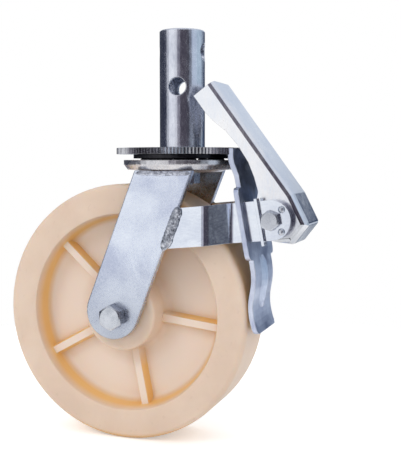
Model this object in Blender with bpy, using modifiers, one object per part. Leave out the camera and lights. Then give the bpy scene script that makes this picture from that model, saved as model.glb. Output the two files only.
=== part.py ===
"""Braked swivel castor for a scaffold tower, 200 mm nylon wheel, plain hollow stem.

Units are metres. The origin is on the stem's axis, at the top face of the toothed ring.
+Z runs up the stem, and the axle runs along Y. The brake is on the +X side.
The brake lever stands raised and the brake is off, as the castor is modelled.
"""
import math

import bmesh
import bpy
from mathutils import Matrix, Vector

# Clearances
SEAT_GAP = 0.0003
RUNNING_GAP = 0.0004
SIDE_GAP = 0.0006
SLOT_CLEARANCE = 0.0006

# Stem
STEM_DIAMETER = 0.035
STEM_WALL = 0.003
STEM_HEIGHT = 0.0896
STEM_CHAMFER = 0.0008
PIN_HOLE_DIAMETER = 0.0135
PIN_HOLE_TOP_DROP = 0.0163
PIN_HOLE_SPACING = 0.027
PIN_HOLE_TURN = math.radians(6.5)

# Toothed locking ring
RING_TIP_RADIUS = 0.051
RING_THICKNESS = 0.0047
TOOTH_COUNT = 120
TOOTH_DEPTH = 0.0011
COMB_CLEARANCE = 0.00045
COMB_STOCK = 0.00015

# Ball race and crown
BALL_DIAMETER = 0.009
BALL_COUNT = 19
BALL_DROP = 0.0023
RACE_RADIUS = 0.029
RACE_WALL = 0.0028
UPPER_RACE_INNER_RADIUS = 0.020
UPPER_RACE_OUTER_RADIUS = 0.038
UPPER_RACE_THICKNESS = 0.003
RACE_OPENING = 0.0012
CROWN_SETBACK = 0.0055
CROWN_RIM_HEIGHT = 0.0034
CROWN_TAPER = 0.0029
CROWN_DEPTH = 0.0073
CROWN_FLOOR_DROP = 0.0028

# Kingpin
KINGPIN_DIAMETER = 0.016
KINGPIN_HEAD_DIAMETER = 0.026
KINGPIN_HEAD_HEIGHT = 0.007
KINGPIN_WASHER_DIAMETER = 0.030
KINGPIN_WASHER_THICKNESS = 0.002
KINGPIN_NUT_FLATS = 0.024
KINGPIN_NUT_HEIGHT = 0.008
KINGPIN_END = 0.001

# Wheel
WHEEL_RADIUS = 0.100
WHEEL_WIDTH = 0.050
WHEEL_X = -0.0402
WHEEL_Z = -0.1276
TREAD_CORNER = 0.0045
RIM_LIP_RADIUS = 0.0769
RIM_LIP_ROUND = 0.001
RIM_DRAFT = 0.0022
RIM_FILLET = 0.0065
WEB_THICKNESS = 0.014
HUB_RADIUS = 0.0285
HUB_DRAFT = 0.001
HUB_WIDTH = 0.062
HUB_FILLET = 0.006
HUB_CHAMFER = 0.0015
HUB_BORE_DIAMETER = 0.025
RIB_COUNT = 5
RIB_THICKNESS = 0.0085
RIB_HEIGHT = 0.0085
RIB_EDGE = 0.002
RIB_TURN = math.radians(-7)
RIB_ROOT = 0.0015

# Axle
AXLE_DIAMETER = 0.012
AXLE_HEAD_FLATS = 0.017
AXLE_HEAD_HEIGHT = 0.0088
AXLE_NUT_HEIGHT = 0.010
BOLT_END = 0.003
SLEEVE_DIAMETER = 0.0168
BUSH_LENGTH = 0.026
AXLE_WASHER_DIAMETER = 0.030
AXLE_WASHER_THICKNESS = 0.003
AXLE_HEX_TURN = math.radians(3)
HEX_CHAMFER_SLOPE = math.tan(math.radians(30))
HEX_FACE_SHARE = 0.9

# Fork legs
LEG_THICKNESS = 0.006
LEG_WIDTH = 0.0427
LEG_TILT = math.radians(21.4)
LEG_EDGE = 0.0008
LEG_TIP_BACK = 0.0021
LEG_TIP_RISE = 0.0033

# Brake arms and the cheeks on their ends
PIVOT_FROM_RING = 0.028
PIVOT_Z = -0.0526
ARM_THICKNESS = 0.0045
ARM_END_RADIUS = 0.01465
ARM_TILT = math.radians(5.5)
ARM_NARROW_HALF_WIDTH = 0.027
ARM_JOG_RUN = 0.016
ARM_STRAIGHT = 0.0315
ARM_BEND_RADIUS = 0.006
ARM_INSET_AT_LEG = 0.0005
CHEEK_THICKNESS = 0.003
CHEEK_FLANGE_OFFSET = 0.009
CHEEK_FLANGE_THICKNESS = 0.0022
CHEEK_FLANGE_HALF_WIDTH = 0.034
CHEEK_FLANGE_HEIGHT = 0.0345
RIVET_DIAMETER = 0.0032
RIVET_HEAD_DIAMETER = 0.0052
RIVET_HEAD_HEIGHT = 0.0016
RIVET_REACH = 0.0112
RIVET_ANGLE = math.radians(46)
PIVOT_BOLT_DIAMETER = 0.008
PIVOT_HEAD_FLATS = 0.013
PIVOT_HEAD_HEIGHT = 0.0053
PIVOT_NUT_HEIGHT = 0.0065
PIVOT_SLEEVE_DIAMETER = 0.013

# Welds
CROWN_WELD_LENGTH = 0.041
CROWN_WELD_HEIGHT = 0.0042
WELD_PROUD = 0.0021
WELD_EDGE = 0.0012
ARM_WELD_WIDTH = 0.0085

# Brake blade
BLADE_THICKNESS = 0.0036
BLADE_TO_PIVOT = 0.0194
BLADE_LEAN = math.radians(10.4)
BLADE_TRAVEL = 0.0013
BLADE_RUB_GAP = 0.00035
TONGUE_HALF_WIDTH = 0.025
TONGUE_TOP_DROP = 0.0006
TONGUE_STRAIGHT = 0.0055
TONGUE_BLEND = 0.0165
MIDDLE_HALF_WIDTH = 0.034
MIDDLE_TOP_DROP = 0.0295
MIDDLE_HEIGHT = 0.053
SHOULDER_RADIUS = 0.005
SHOULDER_ROOT_RADIUS = 0.0015
SHOE_BOTTOM_DROP = 0.1375
SHOE_RUB_DROP = 0.116
SHOE_BEND_DROP = 0.088
SHOE_SWEEP = 0.0042
SHOE_CORNER = 0.003
BEAD_HEIGHT = 0.0026
BEAD_HALF_WIDTH = 0.0045
BEAD_TOP_DROP = 0.079
BEAD_LENGTH = 0.034
BEAD_RUN_OUT = 0.008

# Brake lever, its heel's corners given from the pivot
LEVER_THICKNESS = 0.003
LEVER_BEND = 0.005
LEVER_LENGTH = 0.1031
LEVER_ANGLE = math.radians(126.5)
LEVER_BOSS_RADIUS = 0.0154
LEVER_BOSS_FOOT = math.radians(-100)
LEVER_BOSS_TOP = math.radians(-205)
LEVER_WEB_FOOT_X = 0.0143
LEVER_WEB_FOOT_Z = 0.0190
LEVER_HEEL_X = 0.0255
LEVER_HEEL_Z = -0.0033
LEVER_HEEL_CORNER_X = 0.0139
LEVER_HEEL_CORNER_Z = -0.0182
LEVER_HEEL_END_X = 0.0050
LEVER_HEEL_END_Z = -0.0170
LEVER_HEEL_ROUND = 0.003
LEVER_FLANGE_DEPTH = 0.0185

# Free edge of the lever's side flanges, as (share of the length, share of the depth)
LEVER_FLANGE_SHAPE = (
    (0.164, 1.09),
    (0.261, 0.89),
    (0.372, 0.735),
    (0.513, 0.69),
    (0.650, 0.755),
    (0.770, 0.935),
    (0.845, 1.0),
    (1.000, 1.0),
)

# Facets
WHEEL_STEPS = 48
ROUND_STEPS = 48
SMALL_STEPS = 20
BALL_SEGMENTS = 8
BALL_RINGS = 6
BLADE_CELLS_ACROSS = 20
BLADE_CELLS_DOWN = 34

# Places that follow from the sizes
PIN_HOLE_HIGH_Z = STEM_HEIGHT - PIN_HOLE_TOP_DROP
PIN_HOLE_LOW_Z = PIN_HOLE_HIGH_Z - PIN_HOLE_SPACING
CROWN_RADIUS = RING_TIP_RADIUS - CROWN_SETBACK
CROWN_FOOT_RADIUS = CROWN_RADIUS - CROWN_TAPER
RING_FLOOR = -RING_THICKNESS
UPPER_RACE_TOP = RING_FLOOR - SEAT_GAP
UPPER_RACE_FLOOR = UPPER_RACE_TOP - UPPER_RACE_THICKNESS
CROWN_TOP = UPPER_RACE_FLOOR - RACE_OPENING
CROWN_FLOOR = CROWN_TOP - CROWN_DEPTH
GROOVE_RADIUS = BALL_DIAMETER / 2 + SEAT_GAP
BALL_Z = (UPPER_RACE_FLOOR + CROWN_TOP) / 2 - BALL_DROP
KINGPIN_WASHER_TOP = CROWN_FLOOR - SEAT_GAP
KINGPIN_NUT_TOP = KINGPIN_WASHER_TOP - KINGPIN_WASHER_THICKNESS - SEAT_GAP
KINGPIN_FOOT = KINGPIN_NUT_TOP - KINGPIN_NUT_HEIGHT - KINGPIN_END
LEG_TOP = CROWN_FLOOR - SEAT_GAP
AXLE_WASHER_INNER_Y = HUB_WIDTH / 2 + RUNNING_GAP
LEG_INNER_Y = AXLE_WASHER_INNER_Y + AXLE_WASHER_THICKNESS + SEAT_GAP
LEG_OUTER_Y = LEG_INNER_Y + LEG_THICKNESS
AXLE_POINT = Vector((WHEEL_X, WHEEL_Z))
LEG_TIP_CENTRE = AXLE_POINT + Vector((-LEG_TIP_BACK, LEG_TIP_RISE))
LEG_UP = Vector((math.sin(LEG_TILT), math.cos(LEG_TILT)))
LEG_REARWARD = Vector((math.cos(LEG_TILT), -math.sin(LEG_TILT)))
LEG_REAR_EDGE = LEG_TIP_CENTRE + LEG_REARWARD * LEG_WIDTH / 2
PIVOT_X = RING_TIP_RADIUS + PIVOT_FROM_RING
PIVOT_POINT = Vector((PIVOT_X, PIVOT_Z))
ARM_JOG_END_X = PIVOT_X - ARM_STRAIGHT
ARM_JOG_START_X = ARM_JOG_END_X - ARM_JOG_RUN
ARM_ALONG = Vector((math.cos(ARM_TILT), math.sin(ARM_TILT)))
ARM_INNER_Y = ARM_NARROW_HALF_WIDTH - ARM_THICKNESS
CHEEK_INNER_Y = ARM_NARROW_HALF_WIDTH + SEAT_GAP
CHEEK_OUTER_Y = CHEEK_INNER_Y + CHEEK_THICKNESS
BLADE_OUTWARD = Vector((math.cos(BLADE_LEAN), math.sin(BLADE_LEAN)))
BLADE_UP = Vector((-math.sin(BLADE_LEAN), math.cos(BLADE_LEAN)))
BLADE_INNER_POINT = PIVOT_POINT - BLADE_OUTWARD * (BLADE_TO_PIVOT + BLADE_THICKNESS)
COMB_ROOT_RADIUS = RING_TIP_RADIUS - TOOTH_DEPTH + COMB_CLEARANCE
TONGUE_FORM_RADIUS = COMB_ROOT_RADIUS - COMB_STOCK
LEVER_HALF_WIDTH = ARM_INNER_Y - SIDE_GAP
LEVER_ALONG = Vector((math.cos(LEVER_ANGLE), math.sin(LEVER_ANGLE)))
LEVER_INWARD = Vector((-math.sin(LEVER_ANGLE), math.cos(LEVER_ANGLE)))
LEVER_WEB_FOOT = Vector((LEVER_WEB_FOOT_X, LEVER_WEB_FOOT_Z))
LEVER_WEB_TOP = LEVER_WEB_FOOT + LEVER_ALONG * LEVER_LENGTH
LEVER_HEEL_APEX = Vector((LEVER_HEEL_X, LEVER_HEEL_Z))
LEVER_HEEL_CORNER = Vector((LEVER_HEEL_CORNER_X, LEVER_HEEL_CORNER_Z))
LEVER_HEEL_END = Vector((LEVER_HEEL_END_X, LEVER_HEEL_END_Z))
PIVOT_HOLE_RADIUS = PIVOT_BOLT_DIAMETER / 2 + RUNNING_GAP
AXLE_HOLE_RADIUS = AXLE_DIAMETER / 2 + SEAT_GAP


# Scene helpers
def clear_scene():
    for obj in list(bpy.data.objects):
        bpy.data.objects.remove(obj, do_unlink=True)


def new_collection(name):
    collection = bpy.data.collections.new(name)
    bpy.context.scene.collection.children.link(collection)
    return collection


def material(name, colour, roughness, metallic):
    made = bpy.data.materials.new(name)
    made.use_nodes = True
    shader = made.node_tree.nodes["Principled BSDF"]
    shader.inputs["Base Color"].default_value = (*colour, 1.0)
    shader.inputs["Roughness"].default_value = roughness
    shader.inputs["Metallic"].default_value = metallic
    return made


def part(name, mesh, finish, smooth_angle=30):
    mesh.materials.append(finish)
    mesh.shade_smooth()
    mesh.set_sharp_from_angle(angle=math.radians(smooth_angle))
    obj = bpy.data.objects.new(name, mesh)
    PARTS.objects.link(obj)
    return obj


def cutter(name, mesh):
    obj = bpy.data.objects.new(name, mesh)
    CUTTERS.objects.link(obj)
    obj.hide_render = True
    obj.display_type = "WIRE"
    return obj


def boolean(obj, other, operation="DIFFERENCE"):
    modifier = obj.modifiers.new(operation.title(), "BOOLEAN")
    modifier.operation = operation
    modifier.solver = "EXACT"
    modifier.object = other


def bevel(obj, width, segments=2):
    modifier = obj.modifiers.new("Bevel", "BEVEL")
    modifier.width = width
    modifier.segments = segments
    modifier.limit_method = "ANGLE"
    modifier.angle_limit = math.radians(40)


def joint_empty(name, location, parent=None):
    obj = bpy.data.objects.new(name, None)
    PARTS.objects.link(obj)
    obj.location = location
    bpy.context.view_layer.update()
    if parent is not None:
        attach([obj], parent)
    return obj


def attach(objects, parent):
    bpy.context.view_layer.update()
    for obj in objects:
        obj.parent = parent
        obj.matrix_parent_inverse = parent.matrix_world.inverted()


# Outline helpers, all in a flat plane
def arc(centre, radius, start, end, steps):
    points = []
    for i in range(steps + 1):
        angle = start + (end - start) * i / steps
        points.append(Vector(centre) + radius * Vector((math.cos(angle), math.sin(angle))))
    return points


def rounded(points, radii, steps=4):
    """Closed outline whose corners become arcs; a radius of 0 keeps its corner."""
    result = []
    count = len(points)
    for i, radius in enumerate(radii):
        corner = Vector(points[i])
        if radius == 0:
            result.append(corner)
            continue
        to_last = (Vector(points[i - 1]) - corner).normalized()
        to_next = (Vector(points[(i + 1) % count]) - corner).normalized()
        half_angle = to_last.angle(to_next) / 2
        centre = corner + (to_last + to_next).normalized() * radius / math.sin(half_angle)
        reach = radius / math.tan(half_angle)
        start = corner + to_last * reach - centre
        end = corner + to_next * reach - centre
        sweep = start.angle_signed(end)
        for step in range(steps + 1):
            result.append(centre + Matrix.Rotation(-sweep * step / steps, 2) @ start)
    return result


def offset_path(points, distance):
    """Open polyline moved to its left by a distance, with mitred corners."""
    result = []
    for i, point in enumerate(points):
        before = (point - points[i - 1]).normalized() if i > 0 else None
        after = (points[i + 1] - point).normalized() if i < len(points) - 1 else None
        before = before or after
        after = after or before
        bisector = (before + after).normalized()
        normal = Vector((-bisector.y, bisector.x))
        result.append(point + normal * distance / bisector.dot(before))
    return result


def thick_path(points, half_thickness):
    return offset_path(points, half_thickness) + offset_path(points, -half_thickness)[::-1]


def at_height(start, direction, height):
    """Point of a line at the given height."""
    return start + direction * (height - start.y) / direction.y


def crossing(point, direction, other, other_direction):
    """Point where two lines meet."""
    turn = direction.x * other_direction.y - direction.y * other_direction.x
    gap = other - point
    along = (gap.x * other_direction.y - gap.y * other_direction.x) / turn
    return point + direction * along


def smooth_step(value):
    value = min(max(value, 0.0), 1.0)
    return value * value * (3 - 2 * value)


def toothed_outline(tip_radius, root_radius, count):
    """Outline of pointed teeth, the first tip on the X axis."""
    points = []
    for i in range(2 * count):
        radius = root_radius if i % 2 else tip_radius
        angle = math.pi * i / count
        points.append(Vector((radius * math.cos(angle), radius * math.sin(angle))))
    return points


# Mesh helpers
def evaluated_mesh(source, name):
    bpy.context.scene.collection.objects.link(source)
    bpy.context.view_layer.update()
    evaluated = source.evaluated_get(bpy.context.evaluated_depsgraph_get())
    mesh = bpy.data.meshes.new_from_object(evaluated)
    mesh.name = name
    bpy.data.objects.remove(source, do_unlink=True)
    return mesh


def outline_mesh(name, outline, thickness):
    """Prism of a flat outline, centred on its plane: a filled curve made a closed mesh."""
    curve = bpy.data.curves.new(name, "CURVE")
    curve.dimensions = "2D"
    curve.fill_mode = "BOTH"
    curve.extrude = thickness / 2
    spline = curve.splines.new("POLY")
    spline.points.add(len(outline) - 1)
    for target, point in zip(spline.points, outline):
        target.co = (point[0], point[1], 0, 1)
    spline.use_cyclic_u = True
    mesh = evaluated_mesh(bpy.data.objects.new(name, curve), name)
    shape = bmesh.new()
    shape.from_mesh(mesh)
    bmesh.ops.remove_doubles(shape, verts=shape.verts, dist=0.00001)
    bmesh.ops.dissolve_limit(
        shape, angle_limit=math.radians(0.5), verts=shape.verts, edges=shape.edges)
    bmesh.ops.recalc_face_normals(shape, faces=shape.faces)
    shape.to_mesh(mesh)
    shape.free()
    return mesh


def side_mesh(name, outline, thickness, middle_y=0.0):
    """Prism of an outline drawn in the XZ plane."""
    mesh = outline_mesh(name, outline, thickness)
    mesh.transform(Matrix.Translation((0, middle_y, 0)) @ Matrix.Rotation(math.pi / 2, 4, "X"))
    return mesh


def front_mesh(name, outline, thickness):
    """Prism of an outline drawn in the YZ plane."""
    mesh = outline_mesh(name, outline, thickness)
    mesh.transform(Matrix.Rotation(math.pi / 2, 4, "Z") @ Matrix.Rotation(math.pi / 2, 4, "X"))
    return mesh


def turned_mesh(name, profile, steps, along="Z"):
    """(radius, height) profile spun round an axis by a Screw modifier.

    The profile runs outwards along the top, down the outer side and back along the bottom.
    """
    mesh = bpy.data.meshes.new(name)
    edges = [(i, i + 1) for i in range(len(profile) - 1)]
    if profile[0][0] > 0:
        edges.append((len(profile) - 1, 0))
    mesh.from_pydata([(point[0], 0, point[1]) for point in profile], edges, [])
    source = bpy.data.objects.new(name, mesh)
    screw = source.modifiers.new("Screw", "SCREW")
    screw.steps = steps
    screw.render_steps = steps
    screw.use_merge_vertices = True
    screw.merge_threshold = 0.00001
    result = evaluated_mesh(source, name)
    if along == "Y":
        result.transform(Matrix.Rotation(-math.pi / 2, 4, "X"))
    return result


def cylinder_mesh(name, radius, length, steps):
    shape = bmesh.new()
    bmesh.ops.create_cone(
        shape, cap_ends=True, segments=steps, radius1=radius, radius2=radius, depth=length)
    mesh = bpy.data.meshes.new(name)
    shape.to_mesh(mesh)
    shape.free()
    return mesh


def box_mesh(name, size):
    shape = bmesh.new()
    bmesh.ops.create_cube(shape, size=1)
    bmesh.ops.scale(shape, vec=size, verts=shape.verts)
    mesh = bpy.data.meshes.new(name)
    shape.to_mesh(mesh)
    shape.free()
    return mesh


def tube_profile(inner, outer, low, high):
    return [(inner, high), (outer, high), (outer, low), (inner, low)]


def face_along_y(obj, point, y, side):
    """Stand a piece made along +Z on a plane of constant Y, pointing to that side."""
    obj.location = (point.x, y, point.y)
    obj.rotation_euler = (-side * math.pi / 2, 0, 0)


def cross_hole(name, radius, point):
    """Cutter along Y right through the castor."""
    obj = cutter(name, cylinder_mesh(name, radius, CROWN_RADIUS * 4, SMALL_STEPS))
    face_along_y(obj, point, 0, 1)
    return obj


def hex_head(name, flats, height, finish, point, y, side, turn):
    """Hexagon with a chamfered face towards a side, its seat at y and a flat facing turn."""
    corner_radius = flats / 2 / math.cos(math.pi / 6)
    mesh = cylinder_mesh(name, corner_radius, height, 6)
    mesh.transform(Matrix.Translation((0, 0, height / 2)) @ Matrix.Rotation(-side * turn, 4, "Z"))
    reach = corner_radius + height
    face_radius = flats / 2 * HEX_FACE_SHARE
    profile = [
        (0, height),
        (face_radius, height),
        (reach, height - (reach - face_radius) * HEX_CHAMFER_SLOPE),
        (reach, -height),
        (0, -height),
    ]
    obj = part(name, mesh, finish)
    chamfer = cutter(name + "_chamfer", turned_mesh(name + "_chamfer", profile, ROUND_STEPS))
    for piece in (obj, chamfer):
        face_along_y(piece, point, y, side)
    boolean(obj, chamfer, "INTERSECT")
    return obj


def bolt(name, diameter, flats, head_height, finish, point, seat_y, end_y, turn):
    """Hexagon bolt along Y, its head on the -Y side and its shank ending at end_y."""
    head = hex_head(name, flats, head_height, finish, point, -seat_y, -1, turn)
    length = end_y + seat_y + head_height / 2
    shank = cutter(name + "_shank", cylinder_mesh(name + "_shank", diameter / 2, length, SMALL_STEPS))
    face_along_y(shank, point, end_y - length / 2, 1)
    boolean(head, shank, "UNION")
    return head


def nut(name, diameter, flats, height, finish, point, seat_y, turn):
    """Hexagon nut on the +Y side."""
    obj = hex_head(name, flats, height, finish, point, seat_y, 1, turn)
    boolean(obj, cross_hole(name + "_bore", diameter / 2 + SEAT_GAP, point))
    return obj


# Stem and its toothed ring
def stem_tube():
    bore = STEM_DIAMETER / 2 - STEM_WALL
    outer = STEM_DIAMETER / 2
    profile = [
        (bore, STEM_HEIGHT),
        (outer - STEM_CHAMFER, STEM_HEIGHT),
        (outer, STEM_HEIGHT - STEM_CHAMFER),
        (outer, SEAT_GAP),
        (bore, SEAT_GAP),
    ]
    obj = part("stem_tube", turned_mesh("stem_tube", profile, ROUND_STEPS), ZINC)
    for name, height, turn in (
            ("low_pin_hole", PIN_HOLE_LOW_Z, PIN_HOLE_TURN),
            ("high_pin_hole", PIN_HOLE_HIGH_Z, PIN_HOLE_TURN + math.pi / 2)):
        hole = cutter(name, cylinder_mesh(name, PIN_HOLE_DIAMETER / 2, STEM_DIAMETER * 2, SMALL_STEPS))
        hole.location = (0, 0, height)
        hole.rotation_euler = (math.pi / 2, 0, turn)
        boolean(obj, hole)
    return obj


def locking_ring():
    root = RING_TIP_RADIUS - TOOTH_DEPTH
    outline = toothed_outline(RING_TIP_RADIUS, root, TOOTH_COUNT)
    obj = part("locking_ring", outline_mesh("locking_ring", outline, RING_THICKNESS), DARK_ZINC)
    obj.location = (0, 0, -RING_THICKNESS / 2)
    bore = cutter("ring_bore", cylinder_mesh(
        "ring_bore", KINGPIN_DIAMETER / 2 + SEAT_GAP, RING_THICKNESS * 3, SMALL_STEPS))
    boolean(obj, bore)
    return obj


def kingpin():
    head = KINGPIN_HEAD_DIAMETER / 2
    shank = KINGPIN_DIAMETER / 2
    profile = [
        (0, SEAT_GAP + KINGPIN_HEAD_HEIGHT),
        (head, SEAT_GAP + KINGPIN_HEAD_HEIGHT),
        (head, SEAT_GAP),
        (shank, SEAT_GAP),
        (shank, KINGPIN_FOOT),
        (0, KINGPIN_FOOT),
    ]
    return part("kingpin", turned_mesh("kingpin", profile, SMALL_STEPS), ZINC)


def upper_race():
    half = math.asin((UPPER_RACE_FLOOR - BALL_Z) / GROOVE_RADIUS)
    groove = arc((RACE_RADIUS, BALL_Z), GROOVE_RADIUS, half, math.pi - half, 3)
    profile = [
        (UPPER_RACE_INNER_RADIUS, UPPER_RACE_TOP),
        (UPPER_RACE_OUTER_RADIUS, UPPER_RACE_TOP),
        (UPPER_RACE_OUTER_RADIUS, UPPER_RACE_FLOOR),
        *groove,
        (UPPER_RACE_INNER_RADIUS, UPPER_RACE_FLOOR),
    ]
    return part("upper_race", turned_mesh("upper_race", profile, ROUND_STEPS), DARK_ZINC)


def race_balls():
    balls = []
    for i in range(BALL_COUNT):
        shape = bmesh.new()
        bmesh.ops.create_uvsphere(
            shape, u_segments=BALL_SEGMENTS, v_segments=BALL_RINGS, radius=BALL_DIAMETER / 2)
        name = f"race_ball_{i + 1:02d}"
        mesh = bpy.data.meshes.new(name)
        shape.to_mesh(mesh)
        shape.free()
        ball = part(name, mesh, STEEL, smooth_angle=80)
        angle = 2 * math.pi * i / BALL_COUNT
        ball.location = (RACE_RADIUS * math.cos(angle), RACE_RADIUS * math.sin(angle), BALL_Z)
        balls.append(ball)
    return balls


# Fork
def fork_crown():
    floor_top = CROWN_TOP - CROWN_FLOOR_DROP
    bore = KINGPIN_DIAMETER / 2 + RUNNING_GAP
    outer_radius = GROOVE_RADIUS + RACE_WALL
    inner_cross = math.asin((floor_top - BALL_Z) / GROOVE_RADIUS)
    outer_cross = math.asin((CROWN_TOP - BALL_Z) / GROOVE_RADIUS)
    under_cross = math.asin((CROWN_FLOOR - BALL_Z) / outer_radius)
    centre = (RACE_RADIUS, BALL_Z)
    profile = [
        (bore, floor_top),
        *arc(centre, GROOVE_RADIUS, math.pi - inner_cross, 2 * math.pi + outer_cross, 5),
        (CROWN_RADIUS, CROWN_TOP),
        (CROWN_RADIUS, CROWN_TOP - CROWN_RIM_HEIGHT),
        (CROWN_FOOT_RADIUS, CROWN_FLOOR),
        *arc(centre, outer_radius, under_cross, -math.pi - under_cross, 4),
        (bore, CROWN_FLOOR),
    ]
    return part("fork_crown", turned_mesh("fork_crown", profile, ROUND_STEPS), ZINC)


def kingpin_washer():
    profile = tube_profile(
        KINGPIN_DIAMETER / 2 + RUNNING_GAP, KINGPIN_WASHER_DIAMETER / 2,
        KINGPIN_WASHER_TOP - KINGPIN_WASHER_THICKNESS, KINGPIN_WASHER_TOP)
    return part("kingpin_washer", turned_mesh("kingpin_washer", profile, SMALL_STEPS), ZINC)


def kingpin_nut():
    corner_radius = KINGPIN_NUT_FLATS / 2 / math.cos(math.pi / 6)
    obj = part("kingpin_nut", cylinder_mesh("kingpin_nut", corner_radius, KINGPIN_NUT_HEIGHT, 6), ZINC)
    obj.location = (0, 0, KINGPIN_NUT_TOP - KINGPIN_NUT_HEIGHT / 2)
    bore = cutter("kingpin_nut_bore", cylinder_mesh(
        "kingpin_nut_bore", KINGPIN_DIAMETER / 2 + SEAT_GAP, KINGPIN_NUT_HEIGHT * 3, SMALL_STEPS))
    bore.location = obj.location
    boolean(obj, bore)
    return obj


def leg_outline():
    front_edge = LEG_TIP_CENTRE - LEG_REARWARD * LEG_WIDTH / 2
    tip = arc(LEG_TIP_CENTRE, LEG_WIDTH / 2, -LEG_TILT, -LEG_TILT - math.pi, 20)
    front_top = at_height(front_edge, LEG_UP, LEG_TOP)
    rear_top = at_height(LEG_REAR_EDGE, LEG_UP, LEG_TOP)
    return tip + [front_top, rear_top]


def fork_leg(name, side):
    middle = side * (LEG_INNER_Y + LEG_THICKNESS / 2)
    obj = part(name, side_mesh(name, leg_outline(), LEG_THICKNESS, middle), ZINC)
    bevel(obj, LEG_EDGE)
    boolean(obj, cross_hole(name + "_hole", AXLE_HOLE_RADIUS, AXLE_POINT))
    return obj


def arm_plan(side):
    """Outline of the bent arm seen from above, long at both ends."""
    wide = LEG_OUTER_Y - ARM_INSET_AT_LEG - ARM_THICKNESS / 2
    narrow = ARM_NARROW_HALF_WIDTH - ARM_THICKNESS / 2
    corners = [
        Vector((WHEEL_X, wide)),
        Vector((ARM_JOG_START_X, wide)),
        Vector((ARM_JOG_END_X, narrow)),
        Vector((PIVOT_X + ARM_END_RADIUS * 2, narrow)),
    ]
    bent = rounded(corners, [0, ARM_BEND_RADIUS, ARM_BEND_RADIUS, 0], 3)
    return [Vector((point.x, side * point.y)) for point in thick_path(bent, ARM_THICKNESS / 2)]


def arm_side():
    """Outline of the arm seen from the side, from the leg's rear edge to its round end."""
    tilt = ARM_TILT
    end = arc(PIVOT_POINT, ARM_END_RADIUS, tilt - math.pi / 2, tilt + math.pi / 2, 14)
    start = LEG_REAR_EDGE + LEG_REARWARD * SEAT_GAP
    top = crossing(end[-1], ARM_ALONG, start, LEG_UP)
    foot = crossing(end[0], ARM_ALONG, start, LEG_UP)
    return end + [top, foot]


def rivet_points():
    points = []
    for turn in (-RIVET_ANGLE, RIVET_ANGLE):
        points.append(PIVOT_POINT + RIVET_REACH * Vector((math.cos(turn), math.sin(turn))))
    return points


def cut_pivot_holes(obj, name, with_rivets=True):
    boolean(obj, cross_hole(name + "_pivot_hole", PIVOT_HOLE_RADIUS, PIVOT_POINT))
    if with_rivets:
        for i, point in enumerate(rivet_points()):
            radius = RIVET_DIAMETER / 2 + SEAT_GAP
            boolean(obj, cross_hole(f"{name}_rivet_hole_{i + 1}", radius, point))


def brake_arm(name, side):
    plan = outline_mesh(name, arm_plan(side), ARM_END_RADIUS * 5)
    plan.transform(Matrix.Translation((0, 0, PIVOT_Z)))
    obj = part(name, plan, ZINC)
    shape = side_mesh(name + "_side", arm_side(), LEG_OUTER_Y * 3)
    boolean(obj, cutter(name + "_side", shape), "INTERSECT")
    cut_pivot_holes(obj, name)
    return obj


def pivot_cheek(name, side):
    """D-shaped plate on the arm's end, its straight edge turned out as a flange."""
    edge = PIVOT_POINT - BLADE_OUTWARD * CHEEK_FLANGE_OFFSET
    round_end = arc(
        PIVOT_POINT, ARM_END_RADIUS, ARM_TILT - math.pi / 2, ARM_TILT + math.pi / 2, 14)
    top = crossing(round_end[-1], ARM_ALONG, edge, BLADE_UP)
    foot = crossing(round_end[0], ARM_ALONG, edge, BLADE_UP)
    middle = side * (CHEEK_INNER_Y + CHEEK_THICKNESS / 2)
    mesh = side_mesh(name, round_end + [top, foot], CHEEK_THICKNESS, middle)
    obj = part(name, mesh, ZINC)
    flange_width = CHEEK_FLANGE_HALF_WIDTH - CHEEK_INNER_Y
    flange = cutter(name + "_flange", box_mesh(
        name + "_flange", (CHEEK_FLANGE_THICKNESS, flange_width, CHEEK_FLANGE_HEIGHT)))
    place = edge + BLADE_OUTWARD * CHEEK_FLANGE_THICKNESS / 2
    flange.location = (place.x, side * (CHEEK_INNER_Y + flange_width / 2), place.y)
    flange.rotation_euler = (0, -BLADE_LEAN, 0)
    boolean(obj, flange, "UNION")
    cut_pivot_holes(obj, name)
    return obj


def cheek_rivet(name, point, side):
    head = RIVET_HEAD_DIAMETER / 2
    shank = RIVET_DIAMETER / 2
    length = CHEEK_OUTER_Y - ARM_INNER_Y
    profile = [
        (0, RIVET_HEAD_HEIGHT),
        (head * 0.6, RIVET_HEAD_HEIGHT * 0.85),
        (head * 0.92, RIVET_HEAD_HEIGHT * 0.4),
        (head, 0),
        (shank, 0),
        (shank, -length),
        (0, -length),
    ]
    obj = part(name, turned_mesh(name, profile, 16), ZINC)
    face_along_y(obj, point, side * (CHEEK_OUTER_Y + SEAT_GAP), side)
    return obj


def pivot_bolt():
    end = CHEEK_OUTER_Y + PIVOT_NUT_HEIGHT + BOLT_END
    seat = CHEEK_OUTER_Y + SEAT_GAP
    return bolt(
        "pivot_bolt", PIVOT_BOLT_DIAMETER, PIVOT_HEAD_FLATS, PIVOT_HEAD_HEIGHT, ZINC,
        PIVOT_POINT, seat, end, BLADE_LEAN)


def pivot_nut():
    return nut(
        "pivot_nut", PIVOT_BOLT_DIAMETER, PIVOT_HEAD_FLATS, PIVOT_NUT_HEIGHT, ZINC,
        PIVOT_POINT, CHEEK_OUTER_Y + SEAT_GAP, BLADE_LEAN)


def pivot_sleeve():
    half = LEVER_HALF_WIDTH - LEVER_THICKNESS - SIDE_GAP
    profile = tube_profile(PIVOT_HOLE_RADIUS, PIVOT_SLEEVE_DIAMETER / 2, -half, half)
    obj = part("pivot_sleeve", turned_mesh("pivot_sleeve", profile, SMALL_STEPS, "Y"), ZINC)
    obj.location = (PIVOT_X, 0, PIVOT_Z)
    return obj


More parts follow.
